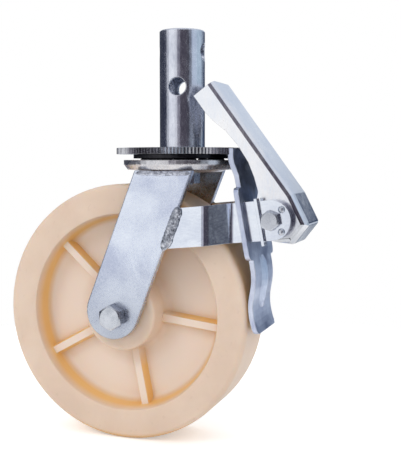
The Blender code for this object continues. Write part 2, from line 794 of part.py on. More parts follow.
def weld_bar(name, start, end, width, side):
    along = (end - start).normalized()
    corner = width / 2 - WELD_EDGE / 4
    outline = thick_path([start - along * width / 4, end + along * width / 4], width / 2)
    outline = rounded(outline, [corner] * 4, 4)
    middle = side * (LEG_OUTER_Y + SEAT_GAP + WELD_PROUD / 2)
    obj = part(name, side_mesh(name, outline, WELD_PROUD, middle), WELD)
    bevel(obj, WELD_EDGE * 0.8, 1)
    return obj


def crown_weld(name, side):
    height = LEG_TOP - CROWN_WELD_HEIGHT / 2
    middle_x = at_height(LEG_TIP_CENTRE, LEG_UP, LEG_TOP).x
    start = Vector((middle_x - CROWN_WELD_LENGTH / 2, height))
    end = Vector((middle_x + CROWN_WELD_LENGTH / 2, height))
    return weld_bar(name, start, end, CROWN_WELD_HEIGHT, side)


def arm_weld(name, side):
    outline = arm_side()
    foot = outline[-1]
    top = outline[-2]
    return weld_bar(name, foot, top, ARM_WELD_WIDTH, side)


# Axle
def axle_bolt():
    end = LEG_OUTER_Y + AXLE_NUT_HEIGHT + BOLT_END
    return bolt(
        "axle_bolt", AXLE_DIAMETER, AXLE_HEAD_FLATS, AXLE_HEAD_HEIGHT, ZINC,
        AXLE_POINT, LEG_OUTER_Y + SEAT_GAP, end, AXLE_HEX_TURN)


def axle_nut():
    return nut(
        "axle_nut", AXLE_DIAMETER, AXLE_HEAD_FLATS, AXLE_NUT_HEIGHT, ZINC,
        AXLE_POINT, LEG_OUTER_Y + SEAT_GAP, AXLE_HEX_TURN)


def axle_ring(name, inner, outer, low, high, finish):
    obj = part(name, turned_mesh(name, tube_profile(inner, outer, low, high), SMALL_STEPS, "Y"), finish)
    obj.location = (WHEEL_X, 0, WHEEL_Z)
    return obj


def axle_sleeve():
    half = LEG_INNER_Y - SEAT_GAP
    return axle_ring("axle_sleeve", AXLE_HOLE_RADIUS, SLEEVE_DIAMETER / 2, -half, half, ZINC)


def axle_washer(name, side):
    low, high = sorted((
        side * AXLE_WASHER_INNER_Y, side * (AXLE_WASHER_INNER_Y + AXLE_WASHER_THICKNESS)))
    inner = SLEEVE_DIAMETER / 2 + SEAT_GAP
    return axle_ring(name, inner, AXLE_WASHER_DIAMETER / 2, low, high, ZINC)


def hub_bush(name, side):
    outer_end = HUB_WIDTH / 2
    low, high = sorted((side * (outer_end - BUSH_LENGTH), side * outer_end))
    inner = SLEEVE_DIAMETER / 2 + RUNNING_GAP
    return axle_ring(name, inner, HUB_BORE_DIAMETER / 2 - SEAT_GAP, low, high, STEEL)


# Wheel
def wheel_half_profile():
    """Section of the wheel's +Y half, from the bore out to the middle of the tread."""
    half_width = WHEEL_WIDTH / 2
    hub_end = HUB_WIDTH / 2
    web = WEB_THICKNESS / 2
    wall = RIM_LIP_RADIUS - RIM_DRAFT
    hub_foot = HUB_RADIUS + HUB_DRAFT
    tread_start = (WHEEL_RADIUS - TREAD_CORNER, half_width - TREAD_CORNER)
    return [
        Vector((HUB_BORE_DIAMETER / 2, hub_end)),
        Vector((HUB_RADIUS - HUB_CHAMFER, hub_end)),
        Vector((HUB_RADIUS, hub_end - HUB_CHAMFER)),
        *arc((hub_foot + HUB_FILLET, web + HUB_FILLET), HUB_FILLET, math.pi, math.pi * 1.5, 2),
        *arc((wall - RIM_FILLET, web + RIM_FILLET), RIM_FILLET, -math.pi / 2, 0, 2),
        Vector((RIM_LIP_RADIUS, half_width - RIM_LIP_ROUND)),
        Vector((RIM_LIP_RADIUS + RIM_LIP_ROUND, half_width)),
        *arc(tread_start, TREAD_CORNER, math.pi / 2, 0, 2),
    ]


def wheel():
    half = wheel_half_profile()
    profile = half + [Vector((point.x, -point.y)) for point in reversed(half)]
    obj = part("wheel", turned_mesh("wheel", profile, WHEEL_STEPS, "Y"), NYLON)
    obj.location = (WHEEL_X, 0, WHEEL_Z)
    inner = HUB_RADIUS - RIB_ROOT
    outer = RIM_LIP_RADIUS + RIB_ROOT
    shape = bmesh.new()
    for i in range(RIB_COUNT):
        made = bmesh.ops.create_cube(shape, size=1)["verts"]
        size = (outer - inner, WEB_THICKNESS + 2 * RIB_HEIGHT, RIB_THICKNESS)
        bmesh.ops.scale(shape, vec=size, verts=made)
        bmesh.ops.translate(shape, vec=((outer + inner) / 2, 0, 0), verts=made)
        turn = Matrix.Rotation(-(RIB_TURN + 2 * math.pi * i / RIB_COUNT), 3, "Y")
        bmesh.ops.rotate(shape, matrix=turn, verts=made)
    mesh = bpy.data.meshes.new("wheel_ribs")
    shape.to_mesh(mesh)
    shape.free()
    ribs = cutter("wheel_ribs", mesh)
    ribs.location = obj.location
    bevel(ribs, RIB_EDGE, 1)
    boolean(obj, ribs, "UNION")
    return obj


# Brake blade
def blade_line_x(drop):
    """Inner face of the blade's straight middle, at a depth below the origin."""
    return BLADE_INNER_POINT.x + (drop + BLADE_INNER_POINT.y) * math.tan(BLADE_LEAN)


def tongue_x(y):
    """Inner face of the tongue, concentric with the ring when the brake is on."""
    return BLADE_TRAVEL + math.sqrt(TONGUE_FORM_RADIUS ** 2 - y ** 2)


def shoe_rub_x():
    tread_rise = WHEEL_Z + SHOE_RUB_DROP
    tread_x = WHEEL_X + math.sqrt(WHEEL_RADIUS ** 2 - tread_rise ** 2)
    return tread_x + BLADE_TRAVEL + BLADE_RUB_GAP


def blade_inner_x(y, drop):
    x = blade_line_x(drop)
    tongue = 1 - smooth_step((drop - TONGUE_STRAIGHT) / TONGUE_BLEND)
    x += (tongue_x(y) - x) * tongue
    shoe = smooth_step((drop - SHOE_BEND_DROP) / (SHOE_RUB_DROP - SHOE_BEND_DROP))
    x += (shoe_rub_x() - x) * shoe
    sweep = max(drop - SHOE_RUB_DROP, 0) / (SHOE_BOTTOM_DROP - SHOE_RUB_DROP)
    x += SHOE_SWEEP * sweep ** 2
    into_bead = smooth_step((drop - BEAD_TOP_DROP) / BEAD_RUN_OUT)
    out_of_bead = smooth_step((drop - BEAD_TOP_DROP - BEAD_LENGTH) / BEAD_RUN_OUT)
    x += BEAD_HEIGHT * math.exp(-(y / BEAD_HALF_WIDTH) ** 2) * into_bead * (1 - out_of_bead)
    return x


def blade_front():
    """Outline of the blade seen from behind the castor, as (y, z)."""
    middle_foot = MIDDLE_TOP_DROP + MIDDLE_HEIGHT
    half = [
        (TONGUE_HALF_WIDTH, -TONGUE_TOP_DROP, 0),
        (TONGUE_HALF_WIDTH, -MIDDLE_TOP_DROP, SHOULDER_ROOT_RADIUS),
        (MIDDLE_HALF_WIDTH, -MIDDLE_TOP_DROP, SHOULDER_RADIUS),
        (MIDDLE_HALF_WIDTH, -middle_foot, SHOULDER_RADIUS),
        (TONGUE_HALF_WIDTH, -middle_foot, SHOULDER_ROOT_RADIUS),
        (TONGUE_HALF_WIDTH, -SHOE_BOTTOM_DROP, SHOE_CORNER),
    ]
    corners = half + [(-y, z, radius) for y, z, radius in reversed(half)]
    return rounded([corner[:2] for corner in corners], [corner[2] for corner in corners])


def brake_blade():
    margin = SHOULDER_RADIUS
    width = 2 * (MIDDLE_HALF_WIDTH + margin)
    height = SHOE_BOTTOM_DROP + 2 * margin
    shape = bmesh.new()
    bmesh.ops.create_grid(
        shape, x_segments=BLADE_CELLS_ACROSS, y_segments=BLADE_CELLS_DOWN, size=0.5)
    for vert in shape.verts:
        y = -vert.co.x * width
        drop = (0.5 - vert.co.y) * height - margin
        vert.co = (blade_inner_x(y, drop), y, -drop)
    mesh = bpy.data.meshes.new("brake_blade")
    shape.to_mesh(mesh)
    shape.free()
    obj = part("brake_blade", mesh, ZINC)
    solidify = obj.modifiers.new("Solidify", "SOLIDIFY")
    solidify.thickness = BLADE_THICKNESS
    solidify.offset = -1
    solidify.use_even_offset = True
    teeth = toothed_outline(COMB_ROOT_RADIUS + TOOTH_DEPTH, COMB_ROOT_RADIUS, TOOTH_COUNT)
    reach = RING_THICKNESS + SIDE_GAP
    comb = cutter("ring_comb", outline_mesh("ring_comb", teeth, 2 * reach))
    comb.location = (BLADE_TRAVEL, 0, 0)
    boolean(obj, comb)
    front = cutter("blade_front", front_mesh("blade_front", blade_front(), PIVOT_X * 4))
    boolean(obj, front, "INTERSECT")
    for name, side in (("near_slot", -1), ("far_slot", 1)):
        size = (
            BLADE_THICKNESS * 8,
            ARM_THICKNESS + 2 * SLOT_CLEARANCE,
            2 * (ARM_END_RADIUS + SLOT_CLEARANCE))
        slot = cutter(name, box_mesh(name, size))
        place = PIVOT_POINT - ARM_ALONG * (BLADE_TO_PIVOT + BLADE_THICKNESS / 2)
        slot.location = (place.x, side * (ARM_INNER_Y + ARM_THICKNESS / 2), place.y)
        slot.rotation_euler = (0, -ARM_TILT, 0)
        boolean(obj, slot)
    return obj


# Brake lever
def bent_prism(name, outline, folded, half_width, bend):
    """Prism along Y with both edges of the folded stretch rounded."""
    mesh = side_mesh(name, [PIVOT_POINT + point for point in outline], 2 * half_width)
    shape = bmesh.new()
    shape.from_mesh(mesh)
    path = [PIVOT_POINT + point for point in folded]

    def on_fold(vert):
        flat = Vector((vert.co.x, vert.co.z))
        return any((flat - point).length < SEAT_GAP / 10 for point in path)

    edges = [
        edge for edge in shape.edges
        if edge.verts[0].co.y * edge.verts[1].co.y > 0 and all(map(on_fold, edge.verts))]
    bmesh.ops.bevel(
        shape, geom=edges, offset=bend, offset_type="OFFSET", segments=3, profile=0.5,
        affect="EDGES")
    shape.to_mesh(mesh)
    shape.free()
    return mesh


def folded_path(points, radius):
    """The web's path with round corners at the heel."""
    radii = [0] + [radius] * (len(points) - 2) + [0]
    return rounded(points, radii, 3)


def flange_edge():
    """Free edge of the side flanges, from the boss up to the tip."""
    points = []
    for along, depth in LEVER_FLANGE_SHAPE:
        on_web = LEVER_WEB_FOOT + LEVER_ALONG * LEVER_LENGTH * along
        points.append(on_web + LEVER_INWARD * LEVER_FLANGE_DEPTH * depth)
    return points


def brake_lever():
    web = [LEVER_WEB_TOP, LEVER_WEB_FOOT, LEVER_HEEL_APEX, LEVER_HEEL_CORNER, LEVER_HEEL_END]
    outer_web = folded_path(web, LEVER_HEEL_ROUND)
    boss = arc((0, 0), LEVER_BOSS_RADIUS, LEVER_BOSS_FOOT, LEVER_BOSS_TOP, 8)
    edge = flange_edge()
    outline = outer_web + boss + edge
    mesh = bent_prism("brake_lever", outline, outer_web, LEVER_HALF_WIDTH, LEVER_BEND)
    obj = part("brake_lever", mesh, ZINC)
    inner_web = offset_path(web, -LEVER_THICKNESS)
    past_tip = LEVER_ALONG * LEVER_THICKNESS
    past_heel = (LEVER_HEEL_END - inner_web[-1]).normalized() * LEVER_LENGTH
    inner_web[0] += past_tip
    open_side = [
        inner_web[-1] + past_heel,
        edge[-1] + past_tip + LEVER_INWARD * LEVER_LENGTH,
    ]
    hollow_mesh = bent_prism(
        "lever_hollow", inner_web + open_side, inner_web, LEVER_HALF_WIDTH - LEVER_THICKNESS,
        LEVER_BEND - LEVER_THICKNESS)
    boolean(obj, cutter("lever_hollow", hollow_mesh))
    cut_pivot_holes(obj, "brake_lever", with_rivets=False)
    return obj


def build():
    swivel = joint_empty("swivel_axis", (0, 0, 0))
    axle = joint_empty("wheel_axis", (WHEEL_X, 0, WHEEL_Z), swivel)
    pivot = joint_empty("lever_axis", (PIVOT_X, 0, PIVOT_Z), swivel)
    slide = joint_empty("blade_slide", (BLADE_INNER_POINT.x, 0, BLADE_INNER_POINT.y), swivel)
    stem_tube()
    locking_ring()
    kingpin()
    upper_race()
    fork = [fork_crown(), kingpin_washer(), kingpin_nut(), *race_balls()]
    for name, side in (("near", -1), ("far", 1)):
        fork.append(fork_leg(name + "_leg", side))
        fork.append(brake_arm(name + "_arm", side))
        fork.append(pivot_cheek(name + "_cheek", side))
        for i, point in enumerate(rivet_points()):
            fork.append(cheek_rivet(f"{name}_cheek_rivet_{i + 1}", point, side))
        fork.append(crown_weld(name + "_crown_weld", side))
        fork.append(arm_weld(name + "_arm_weld", side))
        fork.append(axle_washer(name + "_axle_washer", side))
    fork += [axle_bolt(), axle_nut(), axle_sleeve(), pivot_bolt(), pivot_nut(), pivot_sleeve()]
    attach(fork, swivel)
    attach([wheel(), hub_bush("near_hub_bush", -1), hub_bush("far_hub_bush", 1)], axle)
    attach([brake_blade()], slide)
    attach([brake_lever()], pivot)


clear_scene()
PARTS = new_collection("scaffold_castor")
CUTTERS = new_collection("cutters")
ZINC = material("zinc_plate", (0.62, 0.65, 0.70), 0.33, 1.0)
DARK_ZINC = material("dark_zinc", (0.30, 0.31, 0.33), 0.45, 1.0)
STEEL = material("bright_steel", (0.60, 0.60, 0.60), 0.25, 1.0)
WELD = material("weld", (0.34, 0.35, 0.37), 0.55, 1.0)
NYLON = material("ivory_nylon", (0.80, 0.66, 0.50), 0.42, 0.0)
build()
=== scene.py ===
"""Looks of the scaffold castor: fine wheel, weld beads, threads, metal and nylon materials.

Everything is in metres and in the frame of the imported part: origin on the stem's axis at
the toothed ring's top face, +Z up the stem, axle along Y, brake on the +X side.
"""
import math

import bpy
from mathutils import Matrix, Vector, noise


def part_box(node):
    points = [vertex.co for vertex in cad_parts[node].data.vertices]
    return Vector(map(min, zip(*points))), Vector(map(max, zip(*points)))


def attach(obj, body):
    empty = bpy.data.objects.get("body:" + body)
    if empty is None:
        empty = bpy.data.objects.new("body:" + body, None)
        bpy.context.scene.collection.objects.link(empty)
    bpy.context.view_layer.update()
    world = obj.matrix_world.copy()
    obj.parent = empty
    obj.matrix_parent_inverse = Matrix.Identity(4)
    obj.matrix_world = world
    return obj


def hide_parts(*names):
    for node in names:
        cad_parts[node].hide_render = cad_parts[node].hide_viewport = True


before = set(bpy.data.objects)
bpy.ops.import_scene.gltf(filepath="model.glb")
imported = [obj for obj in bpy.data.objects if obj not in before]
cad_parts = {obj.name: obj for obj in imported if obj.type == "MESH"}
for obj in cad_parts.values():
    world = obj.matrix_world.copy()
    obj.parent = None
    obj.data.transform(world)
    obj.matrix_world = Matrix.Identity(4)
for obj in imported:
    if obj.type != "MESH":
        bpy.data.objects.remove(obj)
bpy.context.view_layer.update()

# Wheel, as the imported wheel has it
WHEEL_CENTRE = Vector((-0.0402, 0, -0.1276))
WHEEL_RADIUS = 0.100
WHEEL_HALF_WIDTH = 0.025
TREAD_CORNER = 0.0045
RIM_LIP_RADIUS = 0.0769
RIM_LIP_ROUND = 0.001
RIM_DRAFT = 0.0022
RIM_FILLET = 0.0065
WEB_HALF = 0.007
HUB_RADIUS = 0.0285
HUB_DRAFT = 0.001
HUB_HALF_WIDTH = 0.031
HUB_FILLET = 0.006
HUB_CHAMFER = 0.0015
HUB_BORE_RADIUS = 0.0125
HUB_BORE_CHAMFER = 0.0008
RIB_COUNT = 5
RIB_PITCH = 2 * math.pi / RIB_COUNT
RIB_TURN = math.radians(-7)
RIB_HALF = 0.00425
RIB_HEIGHT = 0.0085
RIB_EDGE = 0.0013
RIB_BLEND = 0.0032

# The wheel's mesh. Its columns are closest at a rib's flank: RIB_OFFSETS are distances from
# the rib's middle, and PLAIN_COLUMNS share out the web between two ribs.
RIB_OFFSETS = (0, 0.0018, 0.0028, 0.0034, 0.0038, 0.0042, 0.0046, 0.0051, 0.0058, 0.0068, 0.0082)
PLAIN_COLUMNS = 18
FILLET_STEPS = 8
LIP_STEPS = 4
# Inside this radius the ribs are buried in the hub
RIB_FREE_RADIUS = 0.024
# Inside this radius the columns run straight to the axle
COLUMN_RADIUS = HUB_RADIUS

# Weld beads. A pitch is the length of one ripple, and scales are in waves per metre.
LEG_TILT = math.radians(21.4)
ARM_WELD_LENGTH = 0.0345
ARM_WELD_WIDTH = 0.0086
ARM_WELD_PITCH = 0.0042
CROWN_WELD_LENGTH = 0.0430
CROWN_WELD_WIDTH = 0.0044
CROWN_WELD_PITCH = 0.0030
WELD_PROUD = 0.0021
WELD_SINK = 0.0003
WELD_STEPS_LONG = 96
WELD_STEPS_ROUND = 16
# How blunt the ends are, how full the section is, how steep a ripple's front is, and how
# far its middle trails, in pitches
WELD_END_POWER = 7
WELD_ROUND_POWER = 0.8
WELD_RIPPLE_LEAN = 0.8
WELD_LAG = 0.35
WELD_WANDER = 0.0004
WELD_WANDER_SCALE = 160
WELD_ROUGH_SCALE = 420
WELD_ROUGH_ROUND = 2.2

# Threads on the bolt ends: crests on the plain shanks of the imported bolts
AXLE_SHANK_RADIUS = 0.006
AXLE_THREAD_PITCH = 0.00175
PIVOT_SHANK_RADIUS = 0.004
PIVOT_THREAD_PITCH = 0.00125
THREAD_GAP = 0.00002
THREAD_CREST = 0.00034
THREAD_START_OVERLAP = 0.0001
THREAD_END_PROUD = 0.00005
THREAD_STEPS_ROUND = 36
THREAD_ROWS_A_TURN = 10
THREAD_FEWEST_ROWS = 8

# Camera and floor. The floor glows only to the camera and in gloss, which makes it white.
CAMERA_PLACE = Vector((0.2299, -0.6123, -0.0104))
CAMERA_TURN = math.radians(19.35)
CAMERA_DIP = math.radians(4.30)
CAMERA_LENS = 67.1
CAMERA_SENSOR = 36
CAMERA_REACH = 50
FLOOR_Z = -0.2276
FLOOR_RADIUS = 0.50
FLOOR_STEPS = 96
FLOOR_LIFT = 0.36
MIRRORED_LIFT = 0.10

# Lamps: name, place, side of the square, energy
LAMP_TARGET = Vector((0, 0, -0.08))
LAMPS = (
    ("key", Vector((-0.7, -1.1, 0.9)), 0.5, 4.0),
    ("fill", Vector((1.1, -0.6, 0.5)), 0.9, 1.0),
)

# Studio that gloss shows: bearing in degrees (0 is -Y, 90 is +X) and colour
STUDIO_BANDS = (
    (-180, (0.06, 0.08, 0.12)),
    (-112, (0.045, 0.05, 0.07)),
    (-68, (0.025, 0.03, 0.06)),
    (-52, (0.97, 0.98, 1.0)),
    (-40, (1.0, 1.0, 1.0)),
    (-15, (1.0, 1.0, 1.0)),
    (-5, (0.42, 0.40, 0.46)),
    (9, (0.06, 0.05, 0.07)),
    (35, (0.075, 0.065, 0.085)),
    (60, (0.045, 0.045, 0.06)),
    (73, (0.60, 0.67, 0.78)),
    (92, (0.58, 0.66, 0.76)),
    (104, (0.46, 0.57, 0.65)),
    (132, (0.50, 0.60, 0.69)),
    (146, (0.04, 0.06, 0.11)),
    (172, (0.04, 0.06, 0.11)),
    (180, (0.06, 0.08, 0.12)),
)
# Its pale panels behind the castor. A level is the Z of a direction, from -1 straight down
# to 1 straight up, and the share is how much of the panel shows at that level. Bearings
# either way from -Y, in radians, and levels overhead give where each starts and is full.
PANEL_COLOUR = (0.60, 0.66, 0.76)
PANEL_LEVELS = (
    (-0.26, 1.0), (-0.21, 0.0), (-0.18, 0.0), (-0.13, 1.0), (-0.08, 1.0), (-0.05, 0.0),
    (0.155, 0.0), (0.20, 1.0),
)
PANEL_LEVEL_LIMIT = 0.5
PANEL_BEARINGS = (2.3, 2.6)
OVERHEAD_COLOUR = (0.75, 0.77, 0.83)
OVERHEAD_LEVELS = (0.45, 0.80)
# Light on matt surfaces, from straight below to straight above
EVEN_LIGHT = (0.68, 0.90)

# Steel finishes. plated_metal says what each value does.
METALS = {
    "drawn_zinc_tube": dict(
        light=(0.86, 0.89, 0.97), dark=(0.54, 0.57, 0.67), roughness=0.22,
        streak=(1, 1, 0.3), grain=1.1, dents=0.30, edge=0.0014, speckle=0.5, worn=0.3),
    # The leg: fade paints a dark reflection, darker towards the foot, shaded paints brown shade
    # where it is shut in, and rim 0.30 paints dark edges as shade
    "zinc_leg": dict(
        light=(0.84, 0.90, 1.00), dark=(0.51, 0.56, 0.71), roughness=0.26,
        grain=0.6, dents=0.45, edge=0.0011, blotch=22.0, speckle=0.5, worn=0.9, rim=0.30,
        fade=(-0.165, -0.085, 0.66), shaded=0.85),
    "zinc_sheet": dict(
        light=(0.88, 0.93, 1.0), dark=(0.66, 0.71, 0.82), roughness=0.15,
        streak=(0.3, 1, 1), grain=0.4, dents=0.22, worn=0.2),
    # The lever: fade paints a dark reflection on its lowest part
    "pressed_zinc_lever": dict(
        light=(0.98, 0.985, 1.0), dark=(0.78, 0.82, 0.90), roughness=0.18,
        streak=(1, 1, 0.3), grain=0.4, dents=0.25, worn=0.4, fade=(-0.068, -0.050, 0.40)),
    # The blade: fade paints a dark reflection on the tongue, kept off the faces square to the
    # axle
    "pressed_zinc_blade": dict(
        light=(0.80, 0.86, 1.00), dark=(0.46, 0.52, 0.70), roughness=0.38,
        streak=(1, 1, 0.2), grain=0.5, dents=0.45, edge=0.0008, speckle=0.5, worn=1.0,
        rim=1.25, fade=(-0.026, -0.038, 1.0), sides_free_of_painted_dark=True),
    "pressed_zinc_crown": dict(
        light=(0.94, 0.93, 0.95), dark=(0.55, 0.55, 0.58), roughness=0.30,
        grain=0.6, dents=0.45, edge=0.0016, worn=0.2),
    "cut_steel_ring": dict(
        light=(0.74, 0.75, 0.80), dark=(0.12, 0.125, 0.14), roughness=0.20,
        streak=(1, 1, 0.2), grain=0.8, dents=0.20, edge=0.00025, worn=0.9),
    "greased_race": dict(
        light=(0.10, 0.10, 0.11), dark=(0.03, 0.03, 0.035), roughness=0.45,
        grain=0.5, dents=0.30),
    "zinc_fastener": dict(
        light=(0.67, 0.70, 0.76), dark=(0.44, 0.47, 0.53), roughness=0.26,
        grain=0.4, dents=0.15, blotch=120.0),
    "ground_steel": dict(
        light=(0.66, 0.66, 0.66), dark=(0.52, 0.52, 0.53), roughness=0.16,
        grain=0.2, dents=0.05, blotch=200.0, speckle=0.1),
}
PIT_TONE = 0.6
# Tone of the painted dark reflection, as a share of the dark tone, and how far its edge wanders
PAINTED_DARK_TONE = 0.34
FADE_WANDER = 0.008
# Colour of the painted brown shade in shut-in places
PAINTED_SHADE_STEEL = (0.30, 0.25, 0.19)

# Weld finishes: dark, middle and light tone
WELD_METALS = {
    "plated_weld_bead": ((0.16, 0.17, 0.20), (0.42, 0.45, 0.52), (0.78, 0.80, 0.86)),
    "smooth_weld_bead": ((0.34, 0.36, 0.42), (0.58, 0.61, 0.70), (0.80, 0.83, 0.91)),
}

# Nylon
NYLON_DARK = (0.74, 0.570, 0.450)
NYLON_LIGHT = (0.81, 0.645, 0.520)
NYLON_SPECK = (0.52, 0.38, 0.27)
# Painted glow: the paler colour of the web and the ribs' tops
NYLON_PAINTED_GLOW = (0.90, 0.765, 0.665)
# Painted amber shade: in shut-in places, in corners and on the recess's steep flanks
NYLON_PAINTED_SHADE = (0.82, 0.48, 0.17)
NYLON_PAINTED_CORNER_SHADE = (0.72, 0.42, 0.14)
NYLON_PAINTED_FLANK_SHADE = (0.88, 0.52, 0.16)
NYLON_WORN = (0.84, 0.72, 0.61)
# Radii between which the mask of the wheel's recess rises, at the hub and at the rim
RECESS_FROM_HUB = (0.033, 0.046)
RECESS_FROM_RIM = (0.0768, 0.0752)

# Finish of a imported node: the first word that its name holds counts
NODE_FINISHES = (
    ("rivet", "zinc_fastener"),
    ("stem_tube", "drawn_zinc_tube"),
    ("locking_ring", "cut_steel_ring"),
    ("upper_race", "greased_race"),
    ("race_ball", "ground_steel"),
    ("hub_bush", "ground_steel"),
    ("fork_crown", "pressed_zinc_crown"),
    ("crown_weld", "smooth_weld_bead"),
    ("arm_weld", "plated_weld_bead"),
    ("_leg", "zinc_leg"),
    ("_arm", "zinc_sheet"),
    ("_cheek", "zinc_sheet"),
    ("brake_blade", "pressed_zinc_blade"),
    ("brake_lever", "pressed_zinc_lever"),
    ("wheel", "ivory_nylon"),
)
OTHER_FINISH = "zinc_fastener"


# Node helpers
def vector_node(tree, kind, vector):
    """New node with its Vector input linked."""
    made = tree.nodes.new(kind)
    tree.links.new(vector, made.inputs["Vector"])
    return made


def math_node(tree, operation, first, second=0.0, clamp=False):
    made = tree.nodes.new("ShaderNodeMath")
    made.operation = operation
    made.use_clamp = clamp
    for index, value in enumerate((first, second)):
        if isinstance(value, bpy.types.NodeSocket):
            tree.links.new(value, made.inputs[index])
        else:
            made.inputs[index].default_value = value
    return made.outputs[0]


def plus(tree, first, second):
    return math_node(tree, "ADD", first, second)


def times(tree, first, second):
    return math_node(tree, "MULTIPLY", first, second)


def scaled(colour, factor):
    return tuple(factor * part for part in colour)


def ramp(tree, factor, stops):
    """Colour by factor. stops are pairs of a position and a colour or grey level."""
    made = tree.nodes.new("ShaderNodeValToRGB")
    elements = made.color_ramp.elements
    while len(elements) < len(stops):
        elements.new(1.0)
    for element, (position, colour) in zip(elements, stops):
        element.position = position
        if isinstance(colour, (int, float)):
            colour = (colour,) * 3
        element.color = (*colour, 1.0)
    tree.links.new(factor, made.inputs["Fac"])
    return made.outputs["Color"]


def mix_colour(tree, factor, first, second):
    """The first colour where factor is 0, the second where it is 1."""
    made = tree.nodes.new("ShaderNodeMix")
    made.data_type = "RGBA"
    for index, value in ((0, factor), (6, first), (7, second)):
        if isinstance(value, bpy.types.NodeSocket):
            tree.links.new(value, made.inputs[index])
        else:
            made.inputs[index].default_value = (*value, 1.0)
    return made.outputs[2]


def noise_node(tree, vector, scale, detail, roughness=0.55, distortion=0.0):
    made = vector_node(tree, "ShaderNodeTexNoise", vector)
    made.inputs["Scale"].default_value = scale
    made.inputs["Detail"].default_value = detail
    made.inputs["Roughness"].default_value = roughness
    made.inputs["Distortion"].default_value = distortion
    return made.outputs[0]


def remap(tree, value, low, high, to_low=0.0, to_high=1.0):
    """to_low where value is low, to_high where it is high, and held there beyond."""
    made = tree.nodes.new("ShaderNodeMapRange")
    tree.links.new(value, made.inputs[0])
    for index, number in zip((1, 2, 3, 4), (low, high, to_low, to_high)):
        made.inputs[index].default_value = number
    return made.outputs[0]


def spread(tree, cloud, to_low, to_high):
    """A noise, most of which lies between 0.3 and 0.7, taken to another range."""
    return remap(tree, cloud, 0.3, 0.7, to_low, to_high)


def new_material(name):
    made = bpy.data.materials.new(name)
    made.use_nodes = True
    tree = made.node_tree
    return made, tree, tree.nodes["Principled BSDF"]


def stretched(tree, coords, stretch):
    made = vector_node(tree, "ShaderNodeMapping", coords)
    made.inputs["Scale"].default_value = stretch
    return made.outputs[0]


def add_bump(tree, shader, height, distance, strength, normal=None):
    bump = tree.nodes.new("ShaderNodeBump")
    bump.inputs["Distance"].default_value = distance
    bump.inputs["Strength"].default_value = strength
    tree.links.new(height, bump.inputs["Height"])
    if normal is not None:
        tree.links.new(normal, bump.inputs["Normal"])
    tree.links.new(bump.outputs[0], shader.inputs["Normal"])


# Masks, from 0 to 1
def edge_mask(tree, radius):
    """Rounded-edge normal, and a mask of how near a surface is to a sharp edge."""
    bevel = tree.nodes.new("ShaderNodeBevel")
    bevel.samples = 4
    bevel.inputs["Radius"].default_value = radius
    geometry = tree.nodes.new("ShaderNodeNewGeometry")
    dot = tree.nodes.new("ShaderNodeVectorMath")
    dot.operation = "DOT_PRODUCT"
    tree.links.new(bevel.outputs[0], dot.inputs[0])
    tree.links.new(geometry.outputs["Normal"], dot.inputs[1])
    return bevel.outputs[0], remap(tree, dot.outputs["Value"], 0.995, 0.80)


def enclosed_mask(tree, distance, start, full, only_local):
    """Mask of shut-in places: 0 where the openness is start, 1 where it is full."""
    occlusion = tree.nodes.new("ShaderNodeAmbientOcclusion")
    occlusion.only_local = only_local
    occlusion.samples = 8
    occlusion.inputs["Distance"].default_value = distance
    return remap(tree, occlusion.outputs["AO"], start, full)


def facing_out(tree, coords_node):
    """How squarely a surface faces along the axle."""
    split = vector_node(tree, "ShaderNodeSeparateXYZ", coords_node.outputs["Normal"])
    return math_node(tree, "ABSOLUTE", split.outputs["Y"])


def in_recess(tree, coords_node):
    """Mask of the wheel's recess, between the hub and the rim's lip."""
    flat = stretched(tree, coords_node.outputs["Object"], (1, 0, 1))
    length = tree.nodes.new("ShaderNodeVectorMath")
    length.operation = "LENGTH"
    tree.links.new(flat, length.inputs[0])
    radius = length.outputs["Value"]
    past_hub = remap(tree, radius, *RECESS_FROM_HUB)
    return times(tree, past_hub, remap(tree, radius, *RECESS_FROM_RIM))


def recess_flanks(tree, coords_node):
    """Mask of the recess's wall and the ribs' flanks, which stand steep to the wheel's face."""
    steep = remap(tree, facing_out(tree, coords_node), 0.93, 0.30)
    return times(tree, steep, in_recess(tree, coords_node))


def recess_faces(tree, coords_node):
    """Mask of the thin web and the ribs' tops, which get a painted glow, paler than the solid
    rim.
    """
    square = remap(tree, facing_out(tree, coords_node), 0.70, 0.98)
    return times(tree, square, in_recess(tree, coords_node))


